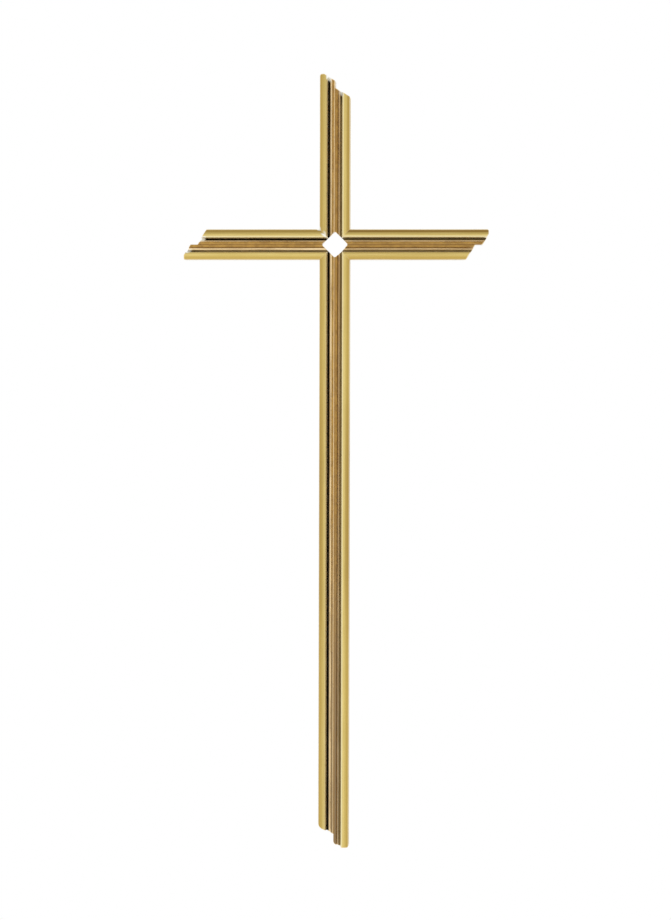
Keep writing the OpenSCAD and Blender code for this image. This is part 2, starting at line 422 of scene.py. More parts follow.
@dataclass(frozen=True)
class RailBrass:
    """Satin brass with a brown ledge and a dark groove, with painted shadow in the grooves, painted highlights on edges
    that are also rubbed bright, and painted shade and reflections on the ribs. Spans are in millimetres.
    """

    light: Colour = (0.82, 0.64, 0.23, 1.0)
    deep: Colour = (0.735, 0.56, 0.175, 1.0)
    # Darker brass towards the rib's outer edge: painted shade.
    outer: Colour = (0.62, 0.43, 0.105, 1.0)
    brown: Colour = (0.50, 0.285, 0.058, 1.0)
    umber: Colour = (0.32, 0.17, 0.035, 1.0)
    shade: Colour = (0.38, 0.20, 0.05, 1.0)
    # Pale flank colour, lighter than the brass so that the shaded flank reads as lit: painted light.
    flank: Colour = (0.88, 0.74, 0.41, 1.0)
    # Painted highlight colour for the rib's inner shoulder.
    gleam: Colour = (0.94, 0.82, 0.45, 1.0)
    # Painted reflection colour for the rib's outer edge.
    edge: Colour = (0.88, 0.78, 0.55, 1.0)
    # Groove colours: brown patina where the groove is lit, and near-black patina with painted shadow where the rib
    # hides it from the lamp.
    grime: Colour = (0.42, 0.30, 0.12, 1.0)
    sootshadow: Colour = (0.012, 0.008, 0.003, 1.0)
    # Pale brass of the rubbed edges and of the painted highlights.
    rubbed: Colour = (0.95, 0.74, 0.43, 1.0)
    # Near white of the solder bead and of the painted highlights in the groove mouths.
    solder: Colour = (1.0, 0.98, 0.88, 1.0)
    dull: Colour = (0.25, 0.185, 0.11, 1.0)
    sawn: Colour = (0.66, 0.48, 0.165, 1.0)
    satin: float = 0.27
    ledge_rough: float = 0.42
    ledge_metal: float = 0.5
    relief: float = 0.02
    split_fade: Span = (0.35, 0.6)
    cut_fade: Span = (0.1, 0.5)
    mitre_fade: Span = (0.05, 0.3)
    bead_fade: Span = (0.9, 2.1)
    chip_fade: Span = (1.3, 2.6)
    choked_fade: Span = (3.0, 11.0)
    splitshadow_fade: Span = (0.4, 1.2)
    edge_rise: Span = (4.4, 5.2)
    aged_fade: Span = (100.0, 260.0)
    tarnish_at: float = 142.0
    tarnish_reach: float = 80.0
    seed_gap: float = 137.0

    def worn(self, masks: RailMasks) -> Socket:
        """Mask where the metal is rubbed bright and where highlights are painted: on the terrace, the step, the split
        line, by the mitres and at the ends.

        Args:
            masks: The masks of the rail.

        Returns:
            The mask.
        """
        graph, tone = masks.graph, masks.tone
        # Painted highlight on the terrace, by the rail's share, kept off where the rib's painted shadow lies.
        bare = graph.times(masks.terrace, tone["terrace"], graph.minus(1.0, masks.crept))
        # Painted highlight on the step, by the rail's share, where the step faces the lamp.
        step = graph.times(masks.step, tone["step"])
        # Painted highlight along the split line, by the rail's share.
        split = graph.times(graph.fall(masks.across, *self.split_fade), tone["split"])
        # Painted highlights by the mitres and along the end cuts, partly edges rubbed bright.
        mitre = graph.ramp(masks.to_mitre, *self.mitre_fade, 0.55, 0.0)
        return graph.most(bare, step, split, graph.fall(masks.to_cut, *self.cut_fade), mitre)

    def pale(self, masks: RailMasks) -> Socket:
        """Mask the bead of solder on a mitre, painted near white so it is also a painted highlight, and the painted
        highlights in the mouth of a groove by its end cut.

        Args:
            masks: The masks of the rail.

        Returns:
            The mask.
        """
        graph, section, across = masks.graph, masks.section, masks.across
        blob = graph.most(graph.band(across, section.rib_in + 1.1, 1.2), graph.band(across, section.width - 0.2, 0.8))
        # Solder bead by the mitre, in near white that also stands for a painted highlight.
        bead = graph.times(graph.fall(masks.to_mitre, *self.bead_fade), blob, masks.tone["bead"])
        past_terrace = graph.ramp(across, section.terrace_in, section.groove_in)
        low_part = graph.times(past_terrace, graph.fall(across, section.rib_in + 0.2, section.rib_in + 0.8))
        # Painted highlight in the mouth of the groove, by the end cut.
        mouth_glint = graph.times(graph.fall(masks.to_cut, *self.chip_fade), low_part, masks.tone["mouth"])
        return graph.most(bead, mouth_glint)

    def rib_colour(self, masks: RailMasks, brushed: Socket, broken: Socket) -> Socket:
        """Colour the rib across its width, with painted shade, highlights and reflections.

        Args:
            masks: The masks of the rail.
            brushed: Colour of the plain brushed brass.
            broken: Mask that breaks up what is worn.

        Returns:
            The colour.
        """
        graph, section, across, tone = masks.graph, masks.section, masks.across, masks.tone
        # Painted shade: the rib darkens towards its outer edge.
        rib = graph.tint(graph.ramp(across, section.rib_in + 1.3, section.width - 0.4), brushed, self.outer)
        # Painted highlight along the rib's inner shoulder, by the rail's share.
        gleam = graph.fall(across, section.rib_in + 0.3, section.rib_in + 1.2)
        rib = graph.tint(graph.times(gleam, tone["gleam"]), rib, self.gleam)
        # Painted shade: umber over the rib's outer rim, and over the whole rib where the rail's rib share is below 1.
        rim = graph.times(graph.band(across, section.width - 1.0, 1.0), tone["rim"])
        rib = graph.tint(graph.most(rim, graph.minus(1.0, tone["rib"])), rib, self.umber)
        # Painted reflection: a pale line along the rib's outer edge, higher up its side.
        outermost = graph.ramp(across, section.width - 0.5, section.width - 0.2)
        edge = graph.times(outermost, graph.ramp(masks.high, *self.edge_rise))
        rib = graph.tint(graph.times(edge, broken, 0.6), rib, self.edge)
        # Painted reflection of something dark: a band over the rib's outer half, partway along the arm.
        outer_half = graph.ramp(across, section.rib_in + 1.2, section.rib_in + 2.4)
        dark_reflection = graph.times(tone["dark"], graph.band(masks.along, self.tarnish_at, self.tarnish_reach), outer_half)
        return graph.tint(graph.times(dark_reflection, 0.35), rib, self.umber)

    def ledge_colour(self, masks: RailMasks, cloudy: Socket) -> Socket:
        """Colour the ledge, the step and the terrace, with painted shade on the step wall, painted shadow beside the
        split line and the rib's painted shadow over the terrace.

        Args:
            masks: The masks of the rail.
            cloudy: Colour of the patina under their own shades.

        Returns:
            The colour.
        """
        graph, tone = masks.graph, masks.tone
        # The ledge darkens further out along the arm, by the rail's dark share.
        darker_out = graph.times(tone["dark"], graph.ramp(masks.along, *self.aged_fade))
        low = graph.tint(graph.times(darker_out, 0.85), cloudy, self.dull)
        # Painted shadow on the ledge beside the split line, by the rail's share.
        low = graph.tint(graph.times(tone["splitshadow"], graph.fall(masks.across, *self.splitshadow_fade)), low, self.umber)
        low = graph.tint(masks.step, low, self.shade)
        # Painted shadow of the rib over the outer terrace.
        return graph.tint(graph.times(masks.crept, 0.8), low, self.sootshadow)

    def make(self, effects: SharedEffects, section: "RailSection") -> bpy.types.Material:
        """Build the material, which reads the places that the rail's mesh carries.

        Args:
            effects: The shared shader groups.
            section: The section of a rail.

        Returns:
            The material.
        """
        paint = Paint("rail_brass")
        graph = paint.graph
        masks = RailMasks(graph, section)
        tone, groove = masks.tone, masks.groove
        apart = graph.plus(masks.along, graph.times(masks.seed, self.seed_gap))
        place = graph.xyz(apart, masks.across, masks.high)
        brush = graph.effect(effects.brush, Vector=place, Density=7.0, Length=14.0)
        patina = graph.effect(effects.patina, Vector=place, Size=3.2)
        marks = graph.effect(effects.handling, Vector=place, Size=9.0)
        broken = graph.ramp(brush["Bands"], 0.3, 0.6, 0.6, 1.0)
        rub_and_highlight = graph.times(self.worn(masks), broken)
        pale = self.pale(masks)

        brushed = graph.tint(graph.ramp(brush["Bands"], 0.3, 0.7), self.deep, self.light)
        rib = self.rib_colour(masks, brushed, broken)
        cloudy = graph.tint(graph.most(patina["Clouds"], patina["Specks"]), self.brown, self.umber)
        low = self.ledge_colour(masks, cloudy)
        # The groove's flank takes its pale colour of painted light.
        colour = graph.tint(masks.ledge, graph.tint(masks.flank, rib, self.flank), low)
        # Rubbed edges and painted highlights in pale brass.
        colour = graph.tint(rub_and_highlight, colour, self.rubbed)
        # The groove darkens towards the end cut on the rails with a mouth share.
        dark_by_cut = graph.times(tone["mouth"], graph.ramp(masks.to_cut, *self.choked_fade, 0.9, 0.0))
        # Groove fill: brown patina where lit, near-black painted shadow on the rails whose rib shades the groove, and
        # darker near the cut on some rails.
        filling = graph.tint(graph.most(tone["sootshadow"], dark_by_cut), self.grime, self.sootshadow)
        colour = graph.tint(groove, colour, filling)
        # Solder bead and painted highlights in near white.
        colour = graph.tint(pale, colour, self.solder)
        teeth = graph.xyz(graph.times(masks.across, 0.15), graph.times(masks.high, 9.0), masks.seed)
        sawn = graph.tint(graph.ramp(graph.noise(teeth, 1.0, 3.0), 0.35, 0.65), self.sawn, self.light)
        colour = graph.tint(masks.cut_face, colour, sawn)

        rough = graph.plus(
            graph.ramp(masks.ledge, 0.0, 1.0, self.satin, self.ledge_rough),
            graph.ramp(brush["Lines"], 0.25, 0.75, -0.05, 0.06),
            graph.ramp(marks["Smudges"], 0.4, 0.7, -0.02, 0.05),
            graph.times(groove, 0.25),
            graph.times(rub_and_highlight, -0.24),
        )
        metal = graph.most(graph.ramp(masks.ledge, 0.0, 1.0, 1.0, self.ledge_metal), rub_and_highlight)
        dull = graph.times(masks.flank, graph.minus(1.0, groove), 0.6)
        metal = graph.most(graph.minus(metal, dull), pale, masks.cut_face)
        scratched = graph.minus(brush["Lines"], graph.times(marks["Scratches"], 0.6))
        height = graph.plus(scratched, graph.times(masks.ledge, patina["Specks"], 0.5))
        return paint.dress(colour, metal, rough, height, self.relief)


@dataclass(frozen=True)
class PlateBrass:
    """Rolled brass sheet, browned all over and ground along its length on the back."""

    brown: Colour = (0.43, 0.30, 0.125, 1.0)
    umber: Colour = (0.29, 0.19, 0.075, 1.0)
    bright: Colour = (0.62, 0.45, 0.18, 1.0)
    rough: float = 0.40
    relief: float = 0.025

    def make(self, effects: SharedEffects) -> bpy.types.Material:
        """Build the material.

        Args:
            effects: The shared shader groups.

        Returns:
            The material.
        """
        paint = Paint("plate_brass")
        graph = paint.graph
        place = paint.coordinates()
        x, y, z = graph.split(place)
        grain = graph.xyz(z, x, y)
        brush = graph.effect(effects.brush, Vector=grain, Density=4.0, Length=22.0)
        patina = graph.effect(effects.patina, Vector=place, Size=16.0)
        marks = graph.effect(effects.handling, Vector=place, Size=16.0)
        colour = graph.tint(patina["Clouds"], self.brown, self.umber)
        colour = graph.tint(graph.ramp(brush["Lines"], 0.55, 0.8, 0.0, 0.45), colour, self.bright)
        colour = graph.tint(graph.times(marks["Scratches"], 0.3), colour, self.bright)
        clouded = graph.plus(self.rough, graph.ramp(patina["Clouds"], 0.0, 1.0, -0.08, 0.12))
        rough = graph.plus(clouded, graph.ramp(marks["Smudges"], 0.4, 0.7, -0.04, 0.06))
        pits = graph.times(patina["Specks"], -0.5)
        height = graph.plus(brush["Lines"], pits, graph.times(marks["Scratches"], -0.8))
        return paint.dress(colour, 1.0, rough, height, self.relief)


@dataclass(frozen=True)
class TurnedMetal:
    """Metal turned on a lathe: fine rings, a darker skin in patches and along some rings, and a few marks."""

    name: str
    light: Colour
    deep: Colour
    rough: float
    ring: float
    relief: float

    def make(self, effects: SharedEffects) -> bpy.types.Material:
        """Build the material, which reads the radius and the length that the mesh carries.

        Args:
            effects: The shared shader groups.

        Returns:
            The material.
        """
        paint = Paint(self.name)
        graph = paint.graph
        radius, length, _ = graph.split(graph.attribute("turned_place"))
        place = paint.coordinates()
        rings = graph.noise(graph.xyz(graph.times(radius, self.ring), graph.times(length, self.ring), 0.0), 1.0, 3.0)
        patina = graph.effect(effects.patina, Vector=place, Size=4.0)
        marks = graph.effect(effects.handling, Vector=place, Size=6.0)
        stain = graph.times(patina["Clouds"], 0.75)
        colour = graph.tint(graph.most(stain, graph.ramp(rings, 0.55, 0.75, 0.0, 0.4)), self.light, self.deep)
        ringed = graph.plus(self.rough, graph.ramp(rings, 0.3, 0.7, -0.05, 0.07))
        rough = graph.plus(ringed, graph.ramp(marks["Smudges"], 0.4, 0.7, -0.03, 0.06))
        height = graph.minus(rings, graph.times(marks["Scratches"], 0.5))
        return paint.dress(colour, 1.0, rough, height, self.relief)


@dataclass(frozen=True)
class FloorPaper:
    """Matt pale studio paper with the faintest fibre, plain white towards its rim and where metal mirrors it."""

    pale: Colour = (0.90, 0.90, 0.89, 1.0)
    shade: Colour = (0.86, 0.86, 0.85, 1.0)
    rough: float = 0.9
    relief: float = 0.05
    rim_fade: Span = (500.0, 1550.0)

    def make(self) -> bpy.types.Material:
        """Build the material.

        Returns:
            The material.
        """
        paint = Paint("floor_paper")
        graph = paint.graph
        fibre = graph.noise(paint.coordinates(), 0.4, 4.0)
        colour = graph.tint(graph.ramp(fibre, 0.35, 0.65), self.pale, self.shade)
        material = paint.dress(colour, 0.0, self.rough, fibre, self.relief)
        seen, mirrored = graph.light_path()
        x, y, _ = graph.split(paint.coordinates())
        rim = graph.times(graph.ramp(graph.away(x, y), *self.rim_fade), seen)
        white = graph.add("ShaderNodeEmission", {"Color": WHITE, "Strength": 1.0}).outputs[0]
        wires = {0: graph.most(mirrored, rim), 1: paint.shader.outputs[0], 2: white}
        graph.join(graph.add("ShaderNodeMixShader", wires).outputs[0], paint.output.inputs["Surface"])
        return material


class ShapeTree:
    """A Geometry Nodes tree with named inputs for its sizes."""

    def __init__(self, name: str, sizes: tuple[str, ...]) -> None:
        """Make the tree with its inputs.

        Args:
            name: Name of the tree.
            sizes: Names of the inputs that are plain numbers, in metres or radians.
        """
        self.tree = bpy.data.node_groups.new(name, "GeometryNodeTree")
        interface = self.tree.interface
        interface.new_socket("Geometry", in_out="OUTPUT", socket_type="NodeSocketGeometry")
        interface.new_socket("Geometry", in_out="INPUT", socket_type="NodeSocketGeometry")
        interface.new_socket("Finish", in_out="INPUT", socket_type="NodeSocketMaterial")
        for size in sizes:
            interface.new_socket(size, in_out="INPUT", socket_type="NodeSocketFloat")
        self.graph = Graph(self.tree)
        self.inputs = self.graph.add("NodeGroupInput").outputs

    def position(self) -> tuple[Socket, Socket, Socket]:
        """Return the X, Y and Z of each point."""
        return self.graph.split(self.graph.add("GeometryNodeInputPosition").outputs[0])

    def rod(self, rounds: int, rings: list[tuple[Wire, Wire]]) -> Socket:
        """Turn a closed rod along Z.

        Args:
            rounds: Points round the rod.
            rings: Radius and height of each of its rings, upwards.

        Returns:
            The rod as a mesh.
        """
        last = len(rings) - 1
        wires = {"Vertices": rounds, "Side Segments": last, "Radius": 1.0, "Depth": float(last)}
        rod = self.graph.add("GeometryNodeMeshCylinder", wires).outputs[0]
        x, y, z = self.position()
        radius, height = rings[0]
        for at in range(1, last + 1):
            past = self.graph.math("GREATER_THAN", z, at - 0.5 - 0.5 * last)
            radius = self.graph.choose(past, radius, rings[at][0])
            height = self.graph.choose(past, height, rings[at][1])
        spot = self.graph.xyz(self.graph.times(x, radius), self.graph.times(y, radius), height)
        return self.graph.add("GeometryNodeSetPosition", {"Geometry": rod, "Position": spot}).outputs[0]

    def carry(self, geometry: Socket, name: str, vector: Socket) -> Socket:
        """Store a vector on each point.

        Args:
            geometry: The geometry with the points.
            name: Name of the attribute.
            vector: The vector.

        Returns:
            The geometry with the attribute.
        """
        wires = {"Geometry": geometry, "Name": name, "Value": vector}
        kind = "GeometryNodeStoreNamedAttribute"
        return self.graph.add(kind, wires, data_type="FLOAT_VECTOR", domain="POINT").outputs[0]

    def lay(self, geometry: Socket, spot: Wire = (0.0, 0.0, 0.0)) -> Socket:
        """Lay something turned along Z on its side, towards +Y, with its radius and length in millimetres kept.

        Args:
            geometry: What was turned.
            spot: Where it goes.

        Returns:
            The geometry in its place.
        """
        x, y, z = self.position()
        own = self.graph.xyz(self.graph.times(self.graph.away(x, y), 1.0 / MM), self.graph.times(z, 1.0 / MM), 0.0)
        turned = self.carry(geometry, "turned_place", own)
        wires = {"Geometry": turned, "Rotation": (-0.5 * math.pi, 0.0, 0.0), "Translation": spot}
        return self.graph.add("GeometryNodeTransform", wires).outputs[0]

    def close(self, geometry: Socket) -> None:
        """End the tree.

        Args:
            geometry: What the tree made, which is realized and given its finish.
        """
        real = self.graph.add("GeometryNodeRealizeInstances", {"Geometry": geometry}).outputs[0]
        wires = {"Geometry": real, "Material": self.inputs["Finish"]}
        done = self.graph.add("GeometryNodeSetMaterial", wires).outputs[0]
        self.graph.add("NodeGroupOutput", {"Geometry": done})

    def grow(self, name: str, base: bpy.types.Mesh, finish: bpy.types.Material, **sizes: float) -> bpy.types.Object:
        """Run the tree on a base mesh and keep the result as a plain mesh.

        Args:
            name: Name of the finished piece.
            base: Mesh that the tree starts from.
            finish: Material of the piece.
            sizes: Value of each input, with underscores in its name read as spaces.

        Returns:
            The piece, at the origin and with no modifier.
        """
        seedling = bpy.data.objects.new(f"{name}_base", base)
        bpy.context.scene.collection.objects.link(seedling)
        modifier = seedling.modifiers.new("shape", "NODES")
        modifier.node_group = self.tree
        wanted = {label.replace("_", " "): value for label, value in sizes.items()}
        wanted["Finish"] = finish
        for item in self.tree.interface.items_tree:
            if item.in_out == "INPUT" and item.name in wanted:
                modifier[item.identifier] = wanted[item.name]
        graph = bpy.context.evaluated_depsgraph_get()
        mesh = bpy.data.meshes.new_from_object(
            seedling.evaluated_get(graph), preserve_all_data_layers=True, depsgraph=graph
        )
        seedling.modifiers.clear()
        bpy.data.objects.remove(seedling)
        return piece_of(name, mesh)


def piece_of(name: str, mesh: bpy.types.Mesh) -> bpy.types.Object:
    """Put a mesh in the scene as a piece with merged points and faces that point outwards.

    Args:
        name: Name of the piece.
        mesh: Its mesh, in metres in the shared frame.

    Returns:
        The new object.
    """
    mesh.name = name
    shell = bmesh.new()
    shell.from_mesh(mesh)
    bmesh.ops.remove_doubles(shell, verts=shell.verts, dist=MERGE)
    bmesh.ops.recalc_face_normals(shell, faces=shell.faces)
    shell.to_mesh(mesh)
    shell.free()
    mesh.shade_smooth()
    piece = bpy.data.objects.new(name, mesh)
    bpy.context.scene.collection.objects.link(piece)
    return piece


def soften(piece: bpy.types.Object, width: float, segments: int = 2, angle: float = 28.0) -> None:
    """Round the edges of a piece with a live bevel.

    Args:
        piece: The piece.
        width: Width of the rounding in millimetres.
        segments: Steps across the rounding.
        angle: Smallest angle between faces that is rounded, in degrees.
    """
    bevel = piece.modifiers.new("soft_edges", "BEVEL")
    bevel.width = width * MM
    bevel.segments = segments
    bevel.limit_method = "ANGLE"
    bevel.angle_limit = math.radians(angle)
    bevel.harden_normals = True


def settle(piece: bpy.types.Object, node: str) -> None:
    """Let a piece ride on the body in place of its CAD node, and report it.

    Args:
        piece: The finished piece.
        node: The CAD node that it stands for.
    """
    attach(piece, BODY)
    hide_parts(node)
    LOG.info("%s: %d faces for %s", piece.name, len(piece.data.polygons), node)


@dataclass(frozen=True)
class RailSection:
    """Section of a rail in millimetres, from the split line outwards and up from the plate."""

    ledge_w: float = 1.35
    ledge_h: float = 5.2
    split_bevel: float = 0.25
    step_w: float = 0.35
    step_fall: float = 3.0
    terrace_w: float = 0.8
    groove_w: float = 0.85
    groove_h: float = 1.2
    flank_w: float = 0.45
    rib_w: float = 4.05
    rib_h: float = 7.0
    crown_r: float = 4.0
    crest_in: float = 1.15
    shoulder_w: float = 0.5
    shoulder_h: float = 0.3
    edge_round: float = 0.12
    outer_round: float = 0.45
    draft: float = 0.05
    round_steps: int = 5
    crown_steps: int = 18
    corner_steps: int = 14

    @property
    def terrace_in(self) -> float:
        """Return the distance of the terrace from the split line."""
        return self.ledge_w + self.step_w

    @property
    def terrace_h(self) -> float:
        """Return the height of the terrace."""
        return self.ledge_h - self.step_fall

    @property
    def groove_in(self) -> float:
        """Return the distance of the groove from the split line."""
        return self.terrace_in + self.terrace_w

    @property
    def rib_in(self) -> float:
        """Return the distance of the top of the rib from the split line."""
        return self.groove_in + self.groove_w + self.flank_w

    @property
    def width(self) -> float:
        """Return the width of a rail."""
        return self.rib_in + self.rib_w

    def crown(self, across: float) -> float:
        """Find the height of the crown of the rib, with its outer edge rounded.

        Args:
            across: Distance from the split line.

        Returns:
            The height above the plate.
        """
        off = across - self.rib_in - self.crest_in
        high = self.rib_h - self.crown_r + math.sqrt(self.crown_r**2 - off**2)
        past = max(0.0, across - self.width + self.outer_round) / self.outer_round
        return high - self.outer_round * (1.0 - math.sqrt(max(0.0, 1.0 - past**2)))

    def rounded(self, corners: list[Point]) -> list[Point]:
        """Round the corners of a line, apart from its two ends.

        Args:
            corners: The corners as pairs of distance and height.

        Returns:
            The points of the rounded line.
        """
        points = [corners[0]]
        for before, corner, after in zip(corners, corners[1:], corners[2:]):
            knee = Vector(corner)
            start = knee + (Vector(before) - knee).normalized() * self.edge_round
            end = knee + (Vector(after) - knee).normalized() * self.edge_round
            for step in range(self.round_steps + 1):
                share = step / self.round_steps
                points.append(tuple(start.lerp(knee, share).lerp(knee.lerp(end, share), share)))
        return points + [corners[-1]]

    @staticmethod
    def with_point(points: list[Point], at: float, near: float = 0.015) -> list[Point]:
        """Add a point on a line, in place of any that lies very near.

        Args:
            points: The line as pairs of distance and height, outwards.
            at: Distance of the point from the split line.
            near: Distance within which other points go, apart from the two ends.

        Returns:
            The line with the point.
        """
        if not points[0][0] + near < at < points[-1][0] - near:
            return points
        for (first, low), (last, high) in zip(points, points[1:]):
            if first <= at <= last:
                found = (at, low + (high - low) * (at - first) / (last - first))
        return sorted([point for point in points if abs(point[0] - at) > near] + [found])

    def top(self, wanted: list[float]) -> list[Point]:
        """List the points of the upper side of the section.

        Args:
            wanted: Distances from the split line at which the ends need points.

        Returns:
            Pairs of distance and height, outwards.
        """
        shoulder = self.rib_in + self.shoulder_w
        edge = self.crown(shoulder)
        points = self.rounded([
            (0.0, self.ledge_h - self.split_bevel),
            (self.split_bevel, self.ledge_h),
            (self.ledge_w, self.ledge_h),
            (self.terrace_in, self.terrace_h),
            (self.groove_in, self.terrace_h),
            (self.groove_in + self.draft, self.groove_h),
            (self.groove_in + self.groove_w, self.groove_h),
            (self.rib_in, edge - self.shoulder_h),
        ])
        for step in range(1, self.round_steps):
            turn = 0.5 * math.pi * step / self.round_steps
            rise = edge - self.shoulder_h * (1.0 - math.sin(turn))
            points.append((shoulder - self.shoulder_w * math.cos(turn), rise))
        span = self.width - shoulder
        outs = [shoulder + span * step / self.crown_steps for step in range(self.crown_steps + 1)]
        points += [(out, self.crown(out)) for out in outs]
        for at in wanted:
            points = self.with_point(points, at)
        return points


@dataclass(frozen=True)
class RailTone:
    """How far one rail's painted light and shade, and its other tones, go in each of its places, in shares from 0 to 1.
    """

    # In order: painted shadow in the groove and over the terrace; painted highlights on the step, the terrace and the
    # split line; painted shade over the whole rib where below 1; a painted dark reflection on the rib with ledges
    # darker further out; painted highlights and a darker groove by the end cut; a solder bead in near white that is
    # also a painted highlight; painted shade on the rib's outer rim; painted light on the flank; a painted highlight on
    # the inner shoulder; painted shadow beside the split line.
    sootshadow: float
    step: float
    terrace: float
    split: float = 0.1
    rib: float = 1.0
    dark: float = 0.0
    mouth: float = 0.0
    bead: float = 0.0
    rim: float = 0.0
    flank: float = 0.0
    gleam: float = 0.0
    splitshadow: float = 0.0


@dataclass(frozen=True)
class Rail:
    """One rail: its place, its node, its painted light and shade and other tones, and how far its groove lies outside
    the common one.
    """

    arm: Arm
    side: Side
    node: str
    tone: RailTone
    outset: float = 0.0


@dataclass(frozen=True)
class EndCut:
    """The end of an arm in millimetres: its slanted cuts, the step between its rails and its round corners."""

    reach: float
    tip_r: float
    corner_r: float
    inner_r: float
    slant: float = 31.0
    step: float = 3.7
    flat: float = 2.3

    @property
    def slope(self) -> float:
        """Return how far a cut runs along the arm for each millimetre across it."""
        return math.tan(math.radians(self.slant))

    def rounding(self, side: Side) -> tuple[float, float, float]:
        """Find how the corners of one of the two rails are rounded.

        Args:
            side: The side of the rail.

        Returns:
            The radius of the outer corner, the lean in radians of the edge that meets it, and the inner radius.
        """
        if side is Side.LEADING:
            return self.tip_r, 0.0, self.inner_r
        return self.corner_r, math.radians(self.slant), 0.0


@dataclass
class RailSet:
    """The eight rails, each swept from one section and cut at its mitre, at the window and at its end."""

    effects: SharedEffects
    section: RailSection = field(default_factory=RailSection)
    finish: RailBrass = field(default_factory=RailBrass)
    window_half: float = 6.9
    window_r: float = 1.0
    seat: float = 11.0
    edge: float = 0.2
    crest_fade: float = 2.0

    # Each rail's painted shadow, highlights and shade, set rail by rail, and how far its groove moves out.
    RAILS: ClassVar[tuple[Rail, ...]] = (
        Rail(
            Arm.RIGHT, Side.LEADING, "right_arm_upper_rail",
            RailTone(0.7, 0.6, 0.8, rib=0.9, rim=0.8, flank=0.4, gleam=1.0, splitshadow=0.3),
        ),
        Rail(
            Arm.RIGHT, Side.LAGGING, "right_arm_lower_rail",
            RailTone(0.15, 0.0, 0.65, rib=0.84, splitshadow=0.3), outset=0.2,
        ),
        Rail(
            Arm.UPPER, Side.LEADING, "upper_arm_left_rail",
            RailTone(1.0, 0.9, 0.9, split=1.0, rib=0.8, mouth=1.0, bead=0.6, gleam=0.2), outset=0.3,
        ),
        Rail(
            Arm.UPPER, Side.LAGGING, "upper_arm_right_rail",
            RailTone(0.25, 0.0, 0.6, mouth=0.8, rim=0.2, gleam=1.0, splitshadow=0.6), outset=0.1,
        ),
        Rail(
            Arm.LEFT, Side.LEADING, "left_arm_lower_rail",
            RailTone(0.2, 0.0, 1.0, rib=0.97, mouth=0.7), outset=0.3,
        ),
        Rail(
            Arm.LEFT, Side.LAGGING, "left_arm_upper_rail",
            RailTone(1.0, 0.8, 0.9, rib=0.92, mouth=1.0, bead=1.0, rim=0.4, flank=1.0, gleam=1.0), outset=-0.2,
        ),
        Rail(
            Arm.LOWER, Side.LEADING, "lower_arm_right_rail",
            RailTone(0.15, 0.0, 0.5, dark=1.0, gleam=1.0, splitshadow=0.5), outset=0.1,
        ),
        Rail(
            Arm.LOWER, Side.LAGGING, "lower_arm_left_rail",
            RailTone(1.0, 1.0, 1.0, split=1.0, rib=0.82, dark=0.8, gleam=0.4), outset=0.35,
        ),
    )

    ENDS: ClassVar[dict[Arm, EndCut]] = {
        Arm.RIGHT: EndCut(reach=79.6, tip_r=0.9, corner_r=1.2, inner_r=0.8),
        Arm.UPPER: EndCut(reach=88.0, tip_r=1.2, corner_r=1.2, inner_r=1.0),
        Arm.LEFT: EndCut(reach=78.2, tip_r=0.35, corner_r=0.6, inner_r=0.3),
        Arm.LOWER: EndCut(reach=312.0, tip_r=1.2, corner_r=3.4, inner_r=2.0, slant=24.5, step=5.0, flat=3.4),
    }

    def own_section(self, outset: float) -> RailSection:
        """Move the groove of the common section outwards.

        Args:
            outset: How far it moves, in millimetres.

        Returns:
            The section, with a wider terrace and a narrower rib.
        """
        common = self.section
        return replace(
            common,
            terrace_w=common.terrace_w + outset,
            rib_w=common.rib_w - outset,
            crest_in=common.crest_in - outset,
        )

    def cut_at_split(self, arm: Arm, side: Side) -> float:
        """Find where an end cut crosses the split line.

        Args:
            arm: The arm of the rail.
            side: The side of the arm.

        Returns:
            The distance from the middle of the crossing.
        """
        end = self.ENDS[arm]
        step = end.step if side is Side.LAGGING else 0.0
        return end.reach - (self.section.width - end.flat) * end.slope - step

    def cut_at(self, arm: Arm, side: Side, across: float) -> float:
        """Return the distance from the middle of an end cut on a line beside the split line."""
        return self.cut_at_split(arm, side) + side.value * across * self.ENDS[arm].slope

    def end_points(self, rail: Rail) -> list[float]:
        """List where the window, the flat and the corners of a rail need points.

        Args:
            rail: The rail.

        Returns:
            The distances from the split line.
        """
        end, steps = self.ENDS[rail.arm], self.section.corner_steps
        radius, lean, _ = end.rounding(rail.side)
        window = [self.window_r * math.sin(0.25 * math.pi * step / steps) for step in range(2, steps + 1, 2)]
        inner = [end.inner_r * (1.0 - math.cos(0.5 * math.pi * step / steps)) for step in range(2, steps, 2)]
        turns = [lean + (0.5 * math.pi - lean) * step / steps for step in range(steps)]
        corner = [self.section.width - radius * (1.0 - math.sin(turn)) for turn in turns]
        return [*window, *inner, 0.5 * self.window_half, self.section.width - end.flat, *corner]

    def ladder(self, rail: Rail) -> bpy.types.Mesh:
        """Draw the section of a rail as a strip of upright faces.

        Args:
            rail: The rail.

        Returns:
            A mesh with distances along X and heights along Y, in metres.
        """
        points = self.own_section(rail.outset).top(self.end_points(rail))
        top = [(across * MM, high * MM, 0.0) for across, high in points]
        foot = [(across * MM, 0.0, 0.0) for across, _ in points]
        count = len(points)
        faces = [(count + at, count + at + 1, at + 1, at) for at in range(count - 1)]
        mesh = bpy.data.meshes.new("rail_section")
        mesh.from_pydata(top + foot, [], faces)
        return mesh

